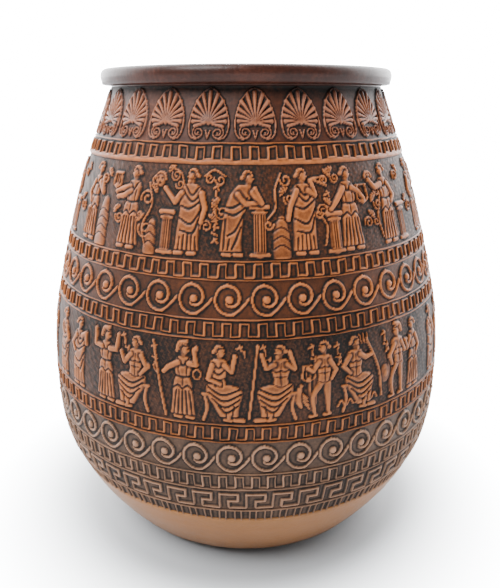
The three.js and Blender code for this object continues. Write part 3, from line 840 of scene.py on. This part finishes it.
def keep_values(mesh, name, values):
    """Keeps one number for each point of a mesh."""
    field = mesh.attributes.new(name, "FLOAT", "POINT")
    field.data.foreach_set("value", np.ascontiguousarray(values, np.float32).reshape(-1))


def ring_piece(name, panel, count, start, material, wandering, seed, field=0.3):
    """A band of repeated tiles."""
    panel.close()
    joined = ((0, 0), (0, 1))
    h = np.pad(panel.h, joined, mode="wrap")
    # The wash value holds the dark wash and painted shade in the recesses.
    wash_and_shade = np.pad(panel.wash_and_shade(field), joined, mode="wrap")
    points = np.empty(h.shape + (3,))
    points[..., 0] = np.linspace(0, 1, h.shape[1])
    points[..., 1] = h * MM
    points[..., 2] = panel.z[:, None] * MM
    mesh = grid_mesh(name, points, False)
    out, up = leans(panel.z)
    edge = np.clip(np.minimum(panel.z - panel.z[0], panel.z[-1] - panel.z) / 1.2, 0, 1)
    by_row = {"reach": (outline(panel.z) - FIELD_DEPTH) * MM, "out": out, "up": up, "inner": edge}
    for key, values in by_row.items():
        keep_values(mesh, key, np.broadcast_to(values[:, None], h.shape))
    # Painted shadow of the rim: the colour is darkened under the rim, and this clears over 9 mm.
    keep_values(mesh, "wash_and_shade", wash_and_shade * np.clip((RIM_SHADE - panel.z[:, None]) / 9 + 0.1, 0.1, 1))
    values = {"Count": count, "Start angle": start, "Seed": seed, "Material": material}
    values["Wander"] = wandering * MM
    return grow(name, mesh, RING, values)


def frieze_piece(name, panel, material, seed, field):
    """A band that is carved all the way round."""
    panel.close(0.14)
    gx, gz = np.meshgrid(panel.x, panel.z)
    turn = gx / panel.wide * 2 * math.pi
    side, front = np.sin(turn), np.cos(turn)
    worn = np.clip(0.93 + 0.12 * wander(side * 90, front * 90 + gz, 40, seed), 0.7, 1.0)
    bumps = 0.07 * wander(side * 110 + gz * 0.3, front * 110 + gz, 9, seed + 1)
    h = np.clip(panel.h * worn + bumps, -0.4, FIELD_DEPTH)
    out, up = leans(panel.z)
    reach = outline(gz) - FIELD_DEPTH + h * out[:, None]
    points = np.stack([reach * side, -reach * front, gz + h * up[:, None]], axis=-1) * MM
    mesh = grid_mesh(name, points, True)
    # The wash value holds the dark wash and painted shade in the recesses.
    keep_values(mesh, "wash_and_shade", panel.wash_and_shade(field))
    mesh.materials.append(material)
    mesh.polygons.foreach_set("use_smooth", np.ones(len(mesh.polygons), bool))
    piece = bpy.data.objects.new(name, mesh)
    bpy.context.collection.objects.link(piece)
    return piece


def turned_piece(name, section, material, sides, uneven, seed=3.0):
    """A plain wall from the radii and heights of its section."""
    mesh = bpy.data.meshes.new(name)
    edges = [(k, k + 1) for k in range(len(section) - 1)]
    mesh.from_pydata([(r * MM, 0, z * MM) for r, z in section], edges, [])
    values = {"Sides": sides, "Unevenness": uneven * MM, "Seed": seed, "Material": material}
    return grow(name, mesh, TURNED, values)


# Materials


def wash_group():
    """The look of fired clay under a dark wash that is rubbed off where it stands proud. Where the mesh's
    value feeds Bare, the Recess colour also shows painted shade in recesses.
    """
    inputs = {"Bare": "Float", "Recess": "Color", "Middle": "Color", "Raised": "Color"}
    inputs.update({"Mottle": "Float", "Shine": "Float"})
    outputs = {"Color": "Color", "Roughness": "Float", "Height": "Float"}
    t = Tree("aged_wash", "ShaderNodeTree", inputs, outputs)
    place = t.add("ShaderNodeTexCoord", {}).outputs["Object"]

    def noise(scale, detail, roughness):
        values = {"Vector": place, "Scale": scale, "Detail": detail, "Roughness": roughness}
        return t.add("ShaderNodeTexNoise", values).outputs[0]

    def share(low, high):
        return t.add("ShaderNodeMapRange", {"Value": bare, "From Min": low, "From Max": high}).outputs[0]

    def mix(amount, one, other):
        return t.add("ShaderNodeMix", {0: amount, 6: one, 7: other}, data_type="RGBA").outputs[2]

    large = noise(26.0, 4.0, 0.6)
    small = noise(420.0, 3.0, 0.7)
    shift = t.times(t.math("SUBTRACT", large, 0.5), t.start["Mottle"])
    grain = t.times(t.math("SUBTRACT", small, 0.5), 0.55)
    bare = t.plus(t.plus(t.start["Bare"], shift), grain)
    low = share(0.05, 0.42)
    dark = mix(low, t.start["Recess"], t.start["Middle"])
    t.finish("Color", mix(share(0.42, 1.0), dark, t.start["Raised"]))
    rough = t.plus(t.start["Shine"], t.times(small, 0.22))
    t.finish("Roughness", t.math("SUBTRACT", rough, t.times(low, 0.2)))
    t.finish("Height", t.plus(t.times(small, 0.5), large))
    return t.tree


def linear(red, green, blue):
    """A colour from 0 to 255 as the renderer's own numbers."""
    shares = [v / 255 for v in (red, green, blue)]
    return [v / 12.92 if v <= 0.04045 else ((v + 0.055) / 1.055) ** 2.4 for v in shares] + [1.0]


def washed_clay(name, recess, middle, raised, mottle=0.62, shine=0.56, bare=None):
    """Clay under the wash. Without a fixed share that is bare, the mesh says it point by point, and then the
    share holds painted shade in recesses too.
    """
    material = bpy.data.materials.new(name)
    material.use_nodes = True
    tree = material.node_tree
    surface = tree.nodes["Principled BSDF"]
    if bare is None:
        bare = add_node(tree, "ShaderNodeAttribute", {}, attribute_name="wash_and_shade").outputs["Fac"]
    values = {"Bare": bare, "Mottle": mottle, "Shine": shine}
    for key, colour in (("Recess", recess), ("Middle", middle), ("Raised", raised)):
        values[key] = linear(*colour)
    group = add_node(tree, "ShaderNodeGroup", values, node_tree=WASH)
    tree.links.new(group.outputs["Color"], surface.inputs["Base Color"])
    tree.links.new(group.outputs["Roughness"], surface.inputs["Roughness"])
    relief = {"Height": group.outputs["Height"], "Strength": 0.4, "Distance": 0.0006}
    bump = add_node(tree, "ShaderNodeBump", relief)
    tree.links.new(bump.outputs[0], surface.inputs["Normal"])
    surface.inputs["Specular IOR Level"].default_value = 0.14
    return material


WASH = wash_group()
RING = ring_tree()
TURNED = turned_tree()

LEAF_CLAY = washed_clay("leaf_clay", (10, 6, 4), (54, 26, 14), (118, 70, 46))
UPPER_CLAY = washed_clay("upper_clay", (12, 7, 3), (64, 31, 11), (136, 76, 36))
LOWER_CLAY = washed_clay("lower_clay", (12, 7, 4), (60, 31, 13), (132, 76, 38))
# Painted reflection: the lower bands' clay is greyer and lighter, standing for the pale floor's sheen on
# them.
REFLECTION_GREY_CLAY = washed_clay("reflection_grey_clay", (28, 20, 15), (68, 48, 35), (124, 90, 68))
PLAIN_CLAY = washed_clay("plain_clay", (78, 48, 27), (116, 77, 44), (138, 93, 57), 0.5, 0.45, 0.62)
RIM_CLAY = washed_clay("rim_clay", (12, 7, 6), (40, 19, 13), (80, 42, 30), 0.8, 0.42, 0.42)
INNER_CLAY = washed_clay("inner_clay", (24, 16, 11), (50, 32, 20), (74, 50, 33), 0.5, 0.5, 0.45)


def radius(z):
    """The outline's radius at one height."""
    return float(outline(z))


def arc(angle, z):
    """The length of an angle's stretch of the outline at a height."""
    return math.radians(angle) * radius(z)


# The bands from the top down. Each starts at the angle of one motif less the motif's place in its tile.
leaf = palmette(arc(15, 273), 261.4, 289.2)
pieces = [ring_piece("palmette_band", leaf, 24, 2.9 - 7.5, LEAF_CLAY, 1.4, 1.0, 0.36)]
# The key patterns: lower and upper edge, count, clay, extra width of the lower cordon and first angle.
FRETS = [
    ("key_band_1", 250.0, 261.4, 66, UPPER_CLAY, 0.9, 0.0),
    ("key_band_2", 193.3, 203.8, 80, UPPER_CLAY, 0.0, 1.0),
    ("key_band_3", 163.6, 174.9, 84, UPPER_CLAY, 0.0, 2.0),
    ("key_band_4", 107.2, 118.6, 92, LOWER_CLAY, 0.0, 3.0),
    ("key_band_5", 76.2, 88.2, 92, REFLECTION_GREY_CLAY, 0.0, 0.5),
]
for name, bottom, top, count, clay, cordon, start in FRETS:
    tile = fret(arc(360 / count, (bottom + top) / 2), bottom, top, 0.6, cordon)
    pieces.append(ring_piece(name, tile, count, start, clay, 2.6, 2.0 + start))
low_key = fret(arc(4, 56), 50.4, 61.0, 0.86, bars_only=True)
pieces.append(ring_piece("key_band_6", low_key, 90, 0.0, REFLECTION_GREY_CLAY, 1.6, 9.0))
scroll = running_scroll(arc(9, 184), 174.9, 193.3)
pieces.append(ring_piece("scroll_band_1", scroll, 40, 5 - 4.05, UPPER_CLAY, 1.2, 5.0))
low_scroll = running_scroll(arc(360 / 44, 98), 88.2, 107.2)
pieces.append(ring_piece("scroll_band_2", low_scroll, 44, 4.8 - 3.68, REFLECTION_GREY_CLAY, 1.2, 6.0))
meander = key_run(arc(360 / 54, 68), 61.0, 76.2)
pieces.append(ring_piece("meander_band", meander, 54, 0.0, REFLECTION_GREY_CLAY, 1.4, 7.0))

upper = Panel(arc(360, 227), 203.8, 250.0, 1152, 72)
carve(upper, 205.4, 43.6, upper_scene)
pieces.append(frieze_piece("upper_frieze", upper, UPPER_CLAY, 11, 0.19))
lower = Panel(arc(360, 141), 118.6, 163.6, 1200, 70)
carve(lower, 119.8, 42.4, lower_scene)
pieces.append(frieze_piece("lower_frieze", lower, LOWER_CLAY, 21, 0.16))

# The plain parts, as sections of radii and heights.
base = [(0, 0), (74, 0), (78, 0), (81.5, 0.25), (84.5, 0.9), (87.6, 2.0), (90.4, 3.5), (93.2, 5.5), (96, 8)]
base += [(radius(z) - cut, z) for z, cut in zip(np.linspace(10, 50.2, 30), 28 * [0.1] + [0.15, 0.4])]
base += [(radius(51.2) - 1.0, 51.2), (radius(51.8) - 2.1, 51.8)]
pieces.append(turned_piece("plain_base", base, PLAIN_CLAY, 240, 1.2))

rim = [(radius(289.2) - FIELD_DEPTH, 289.2), (85.6, 289.7), (86.2, 290.2), (89.5, 290.4), (91.2, 290.9)]
for k in range(1, 8):
    a = math.radians(-52 + 142 * k / 8)
    rim.append((87.6 + 4.4 * math.cos(a) ** 0.7, 295.3 + 4.7 * math.sin(a)))
rim += [(87.5, HEIGHT), (85.5, HEIGHT), (83.8, 299.3), (82.8, 298), (82.5, 296), (82.4, 290)]
pieces.append(turned_piece("rim", rim, RIM_CLAY, 300, 0.5, seed=4.0))

inside = [(82.4, 290), (81.6, 287)]
inside += [(radius(z) - FIELD_DEPTH - WALL, z) for z in np.linspace(280, 22, 60)]
inside += [(95, 16), (86, 11.5), (76, 9.6), (60, FLOOR), (30, FLOOR), (0, FLOOR)]
pieces.append(turned_piece("inside_wall", inside, INNER_CLAY, 128, 0.0))
for piece in pieces:
    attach(piece, "root")
    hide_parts("krater")

# The stage: a pale floor under soft light. The camera sees it burnt out, as the photo does.


def smooth_step(tree, value, low, high, start, end):
    """Leads from one value to another while a number passes from low to high."""
    values = {"Value": value, "From Min": low, "From Max": high, "To Min": start, "To Max": end}
    return add_node(tree, "ShaderNodeMapRange", values, interpolation_type="SMOOTHSTEP").outputs[0]


def seen_level(tree, extra, level):
    """A level of light, with the extra on top of it where the camera looks at it straight."""
    seen = add_node(tree, "ShaderNodeLightPath", {}).outputs["Is Camera Ray"]
    values = {0: seen, 1: extra, 2: level}
    return add_node(tree, "ShaderNodeMath", values, operation="MULTIPLY_ADD").outputs[0]


SPREAD = 6.0
corners = [(-SPREAD, -SPREAD, 0), (SPREAD, -SPREAD, 0), (SPREAD, SPREAD, 0), (-SPREAD, SPREAD, 0)]
floor_mesh = bpy.data.meshes.new("floor")
floor_mesh.from_pydata(corners, [], [(0, 1, 2, 3)])
pale_floor = bpy.data.materials.new("pale_floor")
pale_floor.use_nodes = True
floor_tree = pale_floor.node_tree
floor_surface = floor_tree.nodes["Principled BSDF"]
floor_surface.inputs["Base Color"].default_value = linear(150, 153, 156)
floor_surface.inputs["Roughness"].default_value = 0.6
spot_on_floor = add_node(floor_tree, "ShaderNodeTexCoord", {}).outputs["Object"]
away = add_node(floor_tree, "ShaderNodeVectorMath", {0: spot_on_floor}, operation="LENGTH").outputs["Value"]
# Painted shadow round the jar: the floor glows, and gets brighter away from the jar, from the first distance
# to the second.
fade = smooth_step(floor_tree, away, 0.11, 0.24, 0.0, 1.0)
level = seen_level(floor_tree, 17.0, 2.0)
shine = add_node(floor_tree, "ShaderNodeMath", {0: fade, 1: level}, operation="MULTIPLY")
floor_surface.inputs["Emission Color"].default_value = (0.96, 0.985, 1.0, 1.0)
floor_tree.links.new(shine.outputs[0], floor_surface.inputs["Emission Strength"])
floor_mesh.materials.append(pale_floor)
floor = bpy.data.objects.new("floor", floor_mesh)
bpy.context.collection.objects.link(floor)

# The surround is bright behind and beside the jar, and dimmer on the viewer's side.
BACK_LIGHT, FRONT_LIGHT = 13.0, 0.45
world = bpy.data.worlds.new("studio")
world.use_nodes = True
sky = world.node_tree.nodes["Background"]
sky.inputs["Color"].default_value = (0.97, 0.985, 1.0, 1.0)
toward = add_node(world.node_tree, "ShaderNodeTexCoord", {}).outputs["Generated"]
split = add_node(world.node_tree, "ShaderNodeSeparateXYZ", {0: toward})
glow = smooth_step(world.node_tree, split.outputs[1], -0.35, 0.55, FRONT_LIGHT, BACK_LIGHT)
world.node_tree.links.new(seen_level(world.node_tree, 14.0, glow), sky.inputs["Strength"])
bpy.context.scene.world = world


def area_light(name, place, aim, size, power):
    """A square lamp that looks at a point."""
    light = bpy.data.lights.new(name, "AREA")
    light.shape = "RECTANGLE"
    light.size = light.size_y = size
    light.energy = power
    lamp = bpy.data.objects.new(name, light)
    bpy.context.collection.objects.link(lamp)
    lamp.location = place
    away = np.array(place) - np.array(aim)
    flat = math.hypot(away[0], away[1])
    lamp.rotation_euler = (math.atan2(flat, away[2]), 0, math.atan2(away[0], -away[1]))


area_light("key", (-0.5, -0.6, 1.1), (0, 0, 0.15), 0.55, 32)

# The camera, as fitted to the photo's outline.
FOCAL_PIXELS = 612.6
PHOTO_WIDTH = 500
SHIFT_PIXELS = 3.9
SENSOR = 36
LOOKS_DOWN = 17.83
lens = bpy.data.cameras.new("camera")
lens.sensor_fit = "HORIZONTAL"
lens.sensor_width = SENSOR
lens.lens = FOCAL_PIXELS / PHOTO_WIDTH * SENSOR
lens.shift_x = SHIFT_PIXELS / PHOTO_WIDTH
lens.clip_start = 0.02
camera = bpy.data.objects.new("camera", lens)
bpy.context.collection.objects.link(camera)
camera.location = (0, -0.4201, 0.2836)
camera.rotation_euler = (math.radians(90 - LOOKS_DOWN), 0, 0)
bpy.context.scene.camera = camera
